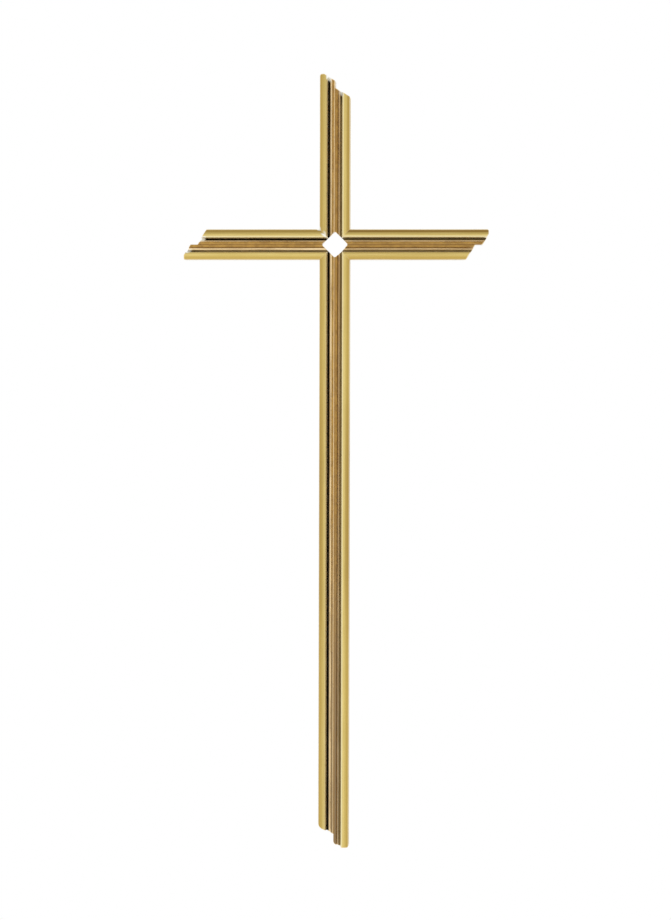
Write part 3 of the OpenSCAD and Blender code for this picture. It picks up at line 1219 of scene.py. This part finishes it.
    @staticmethod
    def start_at(shape: ShapeTree, across: Socket) -> Socket:
        """Find where a rail starts, at its mitre or at the window with its rounded corners.

        Args:
            shape: The tree that sweeps the rail.
            across: Distance of each point from the split line.

        Returns:
            The distance along the arm.
        """
        graph, window, corner = shape.graph, shape.inputs["Window"], shape.inputs["Window Corner"]
        straight = graph.minus(window, across)
        centre = graph.math("MULTIPLY_ADD", corner, -math.sqrt(2.0), window)
        rounded = graph.plus(centre, graph.arc(corner, across))
        in_corner = graph.math("LESS_THAN", across, graph.times(corner, math.sqrt(0.5)))
        return graph.most(across, graph.choose(in_corner, straight, rounded))

    @staticmethod
    def end_at(shape: ShapeTree, across: Socket) -> Socket:
        """Find where a rail ends, at its slanted cut or the flat on its tip, with both corners rounded.

        Args:
            shape: The tree that sweeps the rail.
            across: Distance of each point from the split line.

        Returns:
            The distance along the arm.
        """
        graph, given = shape.graph, shape.inputs
        radius, lean, inner, slope = (given[name] for name in ("Corner", "Corner Slope", "Inner Corner", "Slope"))

        def cut_at(place: Socket) -> Socket:
            """Return how far the rail runs on a line, with no corner rounded."""
            line = graph.math("MULTIPLY_ADD", place, slope, given["Cut"])
            return graph.math("MINIMUM", line, given["Reach"])

        def secant(tangent: Socket) -> Socket:
            """Return the secant of an angle from its tangent."""
            return graph.math("SQRT", graph.math("MULTIPLY_ADD", tangent, tangent, 1.0))

        middle = graph.minus(given["Width"], radius)
        centre = graph.minus(cut_at(middle), graph.times(radius, secant(lean)))
        outer = graph.plus(centre, graph.arc(radius, graph.minus(across, middle)))
        touch = graph.minus(middle, graph.math("DIVIDE", graph.times(radius, lean), secant(lean)))
        end = graph.choose(graph.math("GREATER_THAN", across, touch), cut_at(across), outer)
        centre = graph.math("MULTIPLY_ADD", inner, graph.minus(slope, secant(slope)), given["Cut"])
        by_split = graph.plus(centre, graph.arc(inner, graph.minus(inner, across)))
        touch = graph.times(inner, graph.minus(1.0, graph.math("DIVIDE", slope, secant(slope))))
        return graph.choose(graph.math("LESS_THAN", across, touch), end, by_split)

    def sweep(self) -> ShapeTree:
        """Build the tree that draws a section out between its mitre and its end cut.

        Returns:
            The tree, whose points carry their place on the rail and their distance from its ends.
        """
        names = (
            "Cut", "Slope", "Reach", "Corner", "Corner Slope", "Inner Corner", "Width", "Window", "Window Corner",
            "Outset", "Side", "Turn", "Seat", "Seed",
            *(tone.title() for tones in TONE_SETS.values() for tone in tones),
        )
        shape = ShapeTree("rail_sweep", names)
        graph, given = shape.graph, shape.inputs
        section = given["Geometry"]
        wires = {"Mesh": section, "Offset": (0.0, 0.0, 1.0), "Offset Scale": 1.0, "Individual": False}
        drawn = graph.add("GeometryNodeExtrudeMesh", wires, mode="FACES").outputs[0]
        back = graph.add("GeometryNodeFlipFaces", {"Mesh": section}).outputs[0]
        body = graph.add("GeometryNodeJoinGeometry", {"Geometry": drawn})
        graph.join(back, body.inputs["Geometry"])
        wires = {"Geometry": body.outputs[0], "Distance": 2.0 * MERGE}
        closed = graph.add("GeometryNodeMergeByDistance", wires).outputs[0]

        across, high, share = shape.position()
        start, end = self.start_at(shape, across), self.end_at(shape, across)
        along = graph.math("MULTIPLY_ADD", share, graph.minus(end, start), start)

        common, scale = self.section, 1.0 / MM
        crest = common.rib_in + self.crest_fade
        past_step = graph.ramp(across, common.terrace_in * MM, common.groove_in * MM)
        moved = graph.times(past_step, graph.fall(across, common.rib_in * MM, crest * MM), given["Outset"])
        usual = graph.minus(across, moved)
        place = graph.xyz(graph.times(along, scale), graph.times(usual, scale), graph.times(high, scale))
        to_cut = graph.times(graph.minus(end, along), scale)
        to_mitre = graph.times(graph.minus(along, start), scale)
        carried = shape.carry(closed, "rail_ends", graph.xyz(to_cut, to_mitre, given["Seed"]))
        carried = shape.carry(carried, "rail_place", place)
        for name, tones in TONE_SETS.items():
            carried = shape.carry(carried, name, graph.xyz(*(given[tone.title()] for tone in tones)))
        out = graph.times(graph.plus(high, given["Seat"]), -1.0)
        spot = graph.xyz(along, out, graph.times(across, given["Side"]))
        wires = {"Geometry": carried, "Position": spot}
        set_out = graph.add("GeometryNodeSetPosition", wires).outputs[0]
        turn = graph.xyz(0.0, graph.times(given["Turn"], -1.0), 0.0)
        shape.close(graph.add("GeometryNodeTransform", {"Geometry": set_out, "Rotation": turn}).outputs[0])
        return shape

    def build(self) -> None:
        """Make the rails, round their edges and set them in place of their nodes."""
        brass = self.finish.make(self.effects, self.section)
        shape = self.sweep()
        for seed, rail in enumerate(self.RAILS):
            end = self.ENDS[rail.arm]
            radius, lean, inner = end.rounding(rail.side)
            piece = shape.grow(
                f"{rail.node}.fine",
                self.ladder(rail),
                brass,
                Cut=self.cut_at_split(rail.arm, rail.side) * MM,
                Slope=rail.side.value * end.slope,
                Reach=end.reach * MM,
                Corner=radius * MM,
                Corner_Slope=-math.tan(lean),
                Inner_Corner=inner * MM,
                Width=self.section.width * MM,
                Window=self.window_half * MM,
                Window_Corner=self.window_r * MM,
                Outset=rail.outset * MM,
                Side=float(rail.side.value),
                Turn=math.radians(rail.arm.value),
                Seat=self.seat * MM,
                Seed=float(seed),
                **{name.title(): share for name, share in asdict(rail.tone).items()},
            )
            soften(piece, self.edge)
            settle(piece, rail.node)


@dataclass
class BackingPlate:
    """The plate behind the rails, a merged copy of its solid with softened edges."""

    nodes: dict[str, bpy.types.Object]
    effects: SharedEffects
    finish: PlateBrass = field(default_factory=PlateBrass)
    edge: float = 0.25
    edge_steps: int = 3
    flat_within: float = 0.5

    def build(self) -> None:
        """Copy the solid, join its flat faces, round its edges and dress it."""
        mesh = self.nodes["backing_plate"].data.copy()
        mesh.materials.clear()
        mesh.materials.append(self.finish.make(self.effects))
        shell = bmesh.new()
        shell.from_mesh(mesh)
        bmesh.ops.remove_doubles(shell, verts=shell.verts, dist=MERGE)
        flat = math.radians(self.flat_within)
        bmesh.ops.dissolve_limit(shell, angle_limit=flat, verts=shell.verts, edges=shell.edges)
        shell.to_mesh(mesh)
        shell.free()
        if mesh.has_custom_normals:
            mesh.attributes.remove(mesh.attributes["custom_normal"])
        plate = piece_of("backing_plate.fine", mesh)
        soften(plate, self.edge, self.edge_steps)
        settle(plate, "backing_plate")


@dataclass
class ScrewSet:
    """The slotted countersunk screws of each arm, each driven home at its own angle.

    Sizes are in millimetres. The bevel of the tip and the cutter of the slot are shares of the shank's and the
    head's radius.
    """

    effects: SharedEffects
    rails: RailSet
    finish: TurnedMetal = TurnedMetal(
        "screw_brass", (0.66, 0.49, 0.19, 1.0), (0.33, 0.22, 0.08, 1.0), rough=0.30, ring=6.0, relief=0.012
    )
    shank_r: float = 1.0
    head_r: float = 1.8
    head_h: float = 1.0
    length: float = 8.0
    slot_w: float = 0.5
    slot_d: float = 0.5
    wall: float = 0.45
    first: float = 24.0
    last: float = 7.0
    seat: float = 8.0
    stud_out: float = 45.0
    foot_out: float = 280.0
    middle_pairs: int = 3
    bevel_share: float = 0.25
    cutter_share: float = 2.4
    edge: float = 0.05
    rounds: int = 48
    seed: float = 11.0

    def spots(self, arm: Arm) -> bpy.types.Mesh:
        """Mark where the screws of an arm go.

        Args:
            arm: The arm.

        Returns:
            A mesh with one point at the head of each screw.
        """
        line = self.rails.section.rib_in + self.wall + self.shank_r
        runs = [self.first, self.rails.cut_at(arm, Side.LAGGING, line) - self.last]
        if arm is Arm.LOWER:
            gap = (self.foot_out - self.stud_out) / (self.middle_pairs + 1)
            runs += [self.stud_out + gap * (pair + 1) for pair in range(self.middle_pairs)]
        places = [arm.place(along, side.value * line, self.seat) for along in sorted(runs) for side in Side]
        mesh = bpy.data.meshes.new("screw_spots")
        mesh.from_pydata(places, [], [])
        return mesh

    def row(self) -> ShapeTree:
        """Build the tree that sets a slotted screw on each point, its head towards +Y.

        Returns:
            The tree, whose points carry their radius and length on their own screw.
        """
        names = ("Shank Radius", "Head Radius", "Head Height", "Length", "Slot Width", "Slot Depth", "Seed")
        shape = ShapeTree("screw_row", names)
        graph, given = shape.graph, shape.inputs
        shank, head, length = given["Shank Radius"], given["Head Radius"], given["Length"]
        bevel = graph.times(shank, self.bevel_share)
        body = shape.rod(self.rounds, [
            (graph.minus(shank, bevel), graph.times(length, -1.0)),
            (shank, graph.minus(bevel, length)),
            (shank, graph.times(given["Head Height"], -1.0)),
            (head, 0.0),
        ])
        slot = graph.times(given["Slot Depth"], 2.0)
        size = graph.xyz(graph.times(head, self.cutter_share), given["Slot Width"], slot)
        cutter = graph.add("GeometryNodeMeshCube", {"Size": size}).outputs[0]
        wires = {"Mesh 1": body, "Mesh 2": cutter}
        screw = graph.add("GeometryNodeMeshBoolean", wires, operation="DIFFERENCE", solver="MANIFOLD").outputs[0]
        chance = graph.add("FunctionNodeRandomValue", data_type="FLOAT")
        chance.inputs[2].default_value = 0.0
        chance.inputs[3].default_value = math.pi
        graph.join(given["Seed"], chance.inputs["Seed"])
        spin = graph.xyz(0.0, chance.outputs[1], 0.0)
        wires = {"Points": given["Geometry"], "Instance": shape.lay(screw), "Rotation": spin}
        shape.close(graph.add("GeometryNodeInstanceOnPoints", wires).outputs[0])
        return shape

    def build(self) -> None:
        """Make the screws of each arm and set them in place of their node."""
        brass = self.finish.make(self.effects)
        shape = self.row()
        for arm in Arm:
            node = f"{arm.name.lower()}_arm_screws"
            screws = shape.grow(
                f"{node}.fine",
                self.spots(arm),
                brass,
                Shank_Radius=self.shank_r * MM,
                Head_Radius=self.head_r * MM,
                Head_Height=self.head_h * MM,
                Length=self.length * MM,
                Slot_Width=self.slot_w * MM,
                Slot_Depth=self.slot_d * MM,
                Seed=self.seed + arm.value,
            )
            soften(screws, self.edge)
            settle(screws, node)


@dataclass
class Fixings:
    """The bosses on the back of the plate and the threaded studs in them.

    Sizes are in millimetres. The thread's lead-in and run-out are counted in pitches, and the width of its ridge
    and what the core adds to its root are shares of its depth.
    """

    effects: SharedEffects
    boss_finish: TurnedMetal = TurnedMetal(
        "boss_brass", (0.62, 0.46, 0.18, 1.0), (0.34, 0.22, 0.08, 1.0), rough=0.28, ring=9.0, relief=0.02
    )
    stud_finish: TurnedMetal = TurnedMetal(
        "stud_steel", (0.58, 0.58, 0.57, 1.0), (0.42, 0.42, 0.42, 1.0), rough=0.30, ring=5.0, relief=0.012
    )
    circle: float = 90.0
    foot: float = 280.0
    boss_r: float = 5.5
    spigot_r: float = 4.0
    bore_r: float = 2.65
    standoff: float = 8.0
    plate_t: float = 3.0
    chamfer: float = 0.5
    waist: float = 0.25
    spigot_bevel: float = 0.2
    shoulder_bevel: float = 0.15
    mouth_bevel: float = 0.3
    stud_r: float = 3.0
    stud_l: float = 30.0
    pitch: float = 1.0
    tip: float = 1.0
    lead_in: float = 0.6
    run_out: float = 1.0
    ridge_share: float = 0.8
    core_share: float = 0.12
    turn_steps: int = 28
    core_rounds: int = 48
    rounds: int = 96
    crease: float = 25.0

    def spots(self) -> dict[str, Vector]:
        """Find where the studs meet the face of the wall.

        Returns:
            Each place by the name of its stud.
        """
        out = 0.5 * self.circle
        spots = {arm.name.lower(): arm.place(out, 0.0, 0.0) for arm in Arm}
        spots["foot"] = Arm.LOWER.place(self.foot, 0.0, 0.0)
        return spots

    def turn(self, name: str, outline: list[Point], spot: Vector) -> bpy.types.Object:
        """Turn a closed outline round the Y axis of a spot.

        Args:
            name: Name of the piece.
            outline: Pairs of radius and place along Y in millimetres, round the solid metal.
            spot: Where the axis meets the wall.

        Returns:
            The turned piece, whose points carry their radius and length.
        """
        shell = bmesh.new()
        layer = shell.verts.layers.float_vector.new("turned_place")
        rings: list[list[bmesh.types.BMVert]] = []
        for radius, out in outline:
            ring = []
            for step in range(self.rounds):
                angle = 2.0 * math.pi * step / self.rounds
                where = Vector((radius * math.cos(angle), out, radius * math.sin(angle))) * MM
                vert = shell.verts.new(spot + where)
                vert[layer] = (radius, out, 0.0)
                ring.append(vert)
            rings.append(ring)
        for at, ring in enumerate(rings):
            other = rings[(at + 1) % len(rings)]
            for step in range(self.rounds):
                after = (step + 1) % self.rounds
                shell.faces.new((ring[step], ring[after], other[after], other[step]))
        mesh = bpy.data.meshes.new(name)
        shell.to_mesh(mesh)
        shell.free()
        return piece_of(name, mesh)

    def boss_outline(self) -> list[Point]:
        """Draw the outline of a boss: spigot, shoulder with a turned waist line, and bore.

        Returns:
            Pairs of radius and place along Y in millimetres.
        """
        back, seat = -self.standoff, -self.standoff - self.plate_t
        middle = 0.5 * back
        return [
            (self.bore_r, seat),
            (self.spigot_r - self.spigot_bevel, seat),
            (self.spigot_r, seat + self.spigot_bevel),
            (self.spigot_r, back),
            (self.boss_r - self.shoulder_bevel, back),
            (self.boss_r, back + self.shoulder_bevel),
            (self.boss_r, middle - self.waist),
            (self.boss_r - self.waist, middle),
            (self.boss_r, middle + self.waist),
            (self.boss_r, -self.chamfer),
            (self.boss_r - self.chamfer, 0.0),
            (self.bore_r + self.mouth_bevel, 0.0),
            (self.bore_r, -self.mouth_bevel),
        ]

    def thread(self) -> ShapeTree:
        """Build the tree that winds a thread round a core with a bevelled tip.

        Returns:
            The tree, which starts from no geometry and ends with the stud along +Y from a spot.
        """
        names = ("Radius", "Root", "Length", "Pitch", "Tip", "Inner", "X", "Z")
        shape = ShapeTree("threaded_stud", names)
        graph, given = shape.graph, shape.inputs
        depth = graph.minus(given["Radius"], given["Root"])
        full = graph.minus(given["Length"], graph.times(given["Pitch"], self.lead_in + self.run_out))
        turns = graph.math("DIVIDE", full, given["Pitch"])
        wires = {
            "Resolution": self.turn_steps, "Rotations": turns, "Height": full, "Reverse": True,
            "Start Radius": given["Root"], "End Radius": given["Root"],
        }
        helix = graph.add("GeometryNodeCurveSpiral", wires).outputs[0]
        helix = graph.add("GeometryNodeSetCurveNormal", {"Curve": helix}, mode="Z_UP").outputs[0]
        lift = graph.xyz(0.0, 0.0, graph.times(given["Pitch"], self.lead_in))
        helix = graph.add("GeometryNodeTransform", {"Geometry": helix, "Translation": lift}).outputs[0]
        share = graph.add("GeometryNodeSplineParameter").outputs["Factor"]
        fade = graph.times(graph.ramp(share, 0.0, 0.02, 0.15, 1.0), graph.ramp(share, 0.96, 1.0, 1.0, 0.1))
        ridge = graph.add("GeometryNodeCurvePrimitiveCircle", {"Resolution": 4, "Radius": depth}).outputs[0]
        wires = {"Geometry": ridge, "Scale": (1.0, self.ridge_share, 1.0)}
        ridge = graph.add("GeometryNodeTransform", wires).outputs[0]
        wires = {"Curve": helix, "Profile Curve": ridge, "Fill Caps": True, "Scale": fade}
        ridge = graph.add("GeometryNodeCurveToMesh", wires).outputs[0]

        straight = graph.minus(given["Length"], given["Tip"])
        core_r = graph.math("MULTIPLY_ADD", depth, self.core_share, given["Root"])
        core = shape.rod(self.core_rounds, [
            (core_r, graph.times(given["Inner"], -1.0)),
            (core_r, straight),
            (graph.minus(given["Radius"], given["Tip"]), given["Length"]),
        ])
        union = graph.add("GeometryNodeMeshBoolean", {"Mesh 2": core}, operation="UNION", solver="MANIFOLD")
        graph.join(ridge, union.inputs["Mesh 2"])
        shape.close(shape.lay(union.outputs[0], graph.xyz(given["X"], 0.0, given["Z"])))
        return shape

    def build(self) -> None:
        """Make the five bosses and the five studs and set them in place of their nodes."""
        brass = self.boss_finish.make(self.effects)
        steel = self.stud_finish.make(self.effects)
        shape = self.thread()
        crease = math.radians(self.crease)
        for name, spot in self.spots().items():
            boss = self.turn(f"{name}_boss.fine", self.boss_outline(), spot)
            boss.data.materials.append(brass)
            boss.data.set_sharp_from_angle(angle=crease)
            settle(boss, f"{name}_boss")
            stud = shape.grow(
                f"{name}_stud.fine",
                bpy.data.meshes.new("stud_base"),
                steel,
                Radius=self.stud_r * MM,
                Root=(self.stud_r - 0.5 * self.pitch) * MM,
                Length=self.stud_l * MM,
                Pitch=self.pitch * MM,
                Tip=self.tip * MM,
                Inner=(self.standoff + self.plate_t) * MM,
                X=spot.x,
                Z=spot.z,
            )
            stud.data.set_sharp_from_angle(angle=crease)
            settle(stud, f"{name}_stud")


@dataclass(frozen=True)
class Lamp:
    """A soft square lamp: its place and the length of its side in metres, and its power in watts."""

    name: str
    place: Place
    size: float
    power: float

    def hang(self, target: Vector) -> None:
        """Hang the lamp in the scene, unseen by the metal that mirrors the room.

        Args:
            target: Where it shines.
        """
        data = bpy.data.lights.new(self.name, "AREA")
        data.shape = "SQUARE"
        data.size = self.size
        data.energy = self.power
        lamp = bpy.data.objects.new(self.name, data)
        lamp.visible_glossy = False
        lamp.location = self.place
        lamp.rotation_euler = (target - Vector(self.place)).to_track_quat("-Z", "Y").to_euler()
        bpy.context.scene.collection.objects.link(lamp)


@dataclass
class Studio:
    """Pale floor, white surround, two soft lamps and the camera at the photograph's angle."""

    azimuth: float = 3.4
    elevation: float = 0.7
    roll: float = 0.14
    distance: float = 2.0
    frame_height: float = 0.4762
    aim: Place = (0.00058, -0.0145, -0.1114)
    sensor: float = 36.0
    clip: Span = (0.05, 50.0)
    room_light: float = 0.65
    above_light: float = 0.68
    right_light: float = 0.88
    left_light: float = 0.95
    floor_z: float = -0.9
    floor_r: float = 1.6
    floor_rounds: int = 128
    lamps: tuple[Lamp, ...] = (
        Lamp("key_lamp", (-0.91, -1.52, 0.91), 0.7, 20.0),
        Lamp("fill_lamp", (1.3, -1.8, -0.3), 1.0, 2.0),
    )

    def floor(self) -> None:
        """Lay a round floor well below the foot, where the front view doesn't reach."""
        shell = bmesh.new()
        bmesh.ops.create_circle(shell, cap_ends=True, segments=self.floor_rounds, radius=self.floor_r)
        mesh = bpy.data.meshes.new("floor")
        shell.to_mesh(mesh)
        shell.free()
        for vert in mesh.vertices:
            vert.co.z = self.floor_z
        mesh.materials.append(FloorPaper().make())
        floor = bpy.data.objects.new("floor", mesh)
        bpy.context.scene.collection.objects.link(floor)

    def surround(self) -> None:
        """Surround the object with plain white, a little dimmer above and beside the camera."""
        world = bpy.data.worlds.new("white_surround")
        bpy.context.scene.world = world
        world.use_nodes = True
        world.node_tree.nodes.clear()
        graph = Graph(world.node_tree)
        x, y, z = graph.split(graph.add("ShaderNodeTexCoord").outputs["Generated"])
        above = graph.ramp(z, -0.05, 0.4, 1.0, self.above_light)
        right = graph.ramp(x, 0.05, 0.8, 1.0, self.right_light)
        left = graph.ramp(x, -0.8, -0.05, self.left_light, 1.0)
        room = graph.choose(graph.ramp(y, -0.1, 0.3), graph.times(above, right, left), 1.0)
        seen, mirrored = graph.light_path()
        level = graph.most(seen, graph.choose(mirrored, self.room_light, room))
        white = graph.add("ShaderNodeBackground", {"Color": WHITE, "Strength": level}).outputs[0]
        graph.add("ShaderNodeOutputWorld", {"Surface": white})

    def camera(self) -> None:
        """Set the camera so that the photograph's frame is filled as it is there."""
        data = bpy.data.cameras.new("photo_camera")
        data.sensor_width = self.sensor
        data.lens = self.sensor * self.distance / self.frame_height
        data.clip_start, data.clip_end = self.clip
        camera = bpy.data.objects.new("photo_camera", data)
        turn, rise = math.radians(self.azimuth), math.radians(self.elevation)
        back = Vector((math.sin(turn) * math.cos(rise), -math.cos(turn) * math.cos(rise), math.sin(rise)))
        camera.location = Vector(self.aim) + back * self.distance
        roll = Quaternion((0.0, 0.0, 1.0), math.radians(self.roll))
        camera.rotation_euler = ((-back).to_track_quat("-Z", "Y") @ roll).to_euler()
        bpy.context.scene.collection.objects.link(camera)
        bpy.context.scene.camera = camera

    def build(self) -> None:
        """Set up the stage."""
        self.floor()
        self.surround()
        for lamp in self.lamps:
            lamp.hang(Vector(self.aim))
        self.camera()
        bpy.context.scene.view_settings.view_transform = "Standard"
        LOG.info("stage: floor, surround, two lamps and camera")


def main() -> None:
    """Build the dressed cross and its stage."""
    logging.basicConfig(level=logging.INFO, format="%(name)s: %(message)s")
    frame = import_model()
    Studio().build()
    effects = SharedEffects()
    rails = RailSet(effects)
    rails.build()
    BackingPlate(frame["nodes"], effects).build()
    ScrewSet(effects, rails).build()
    Fixings(effects).build()


if __name__ == "__main__":
    main()
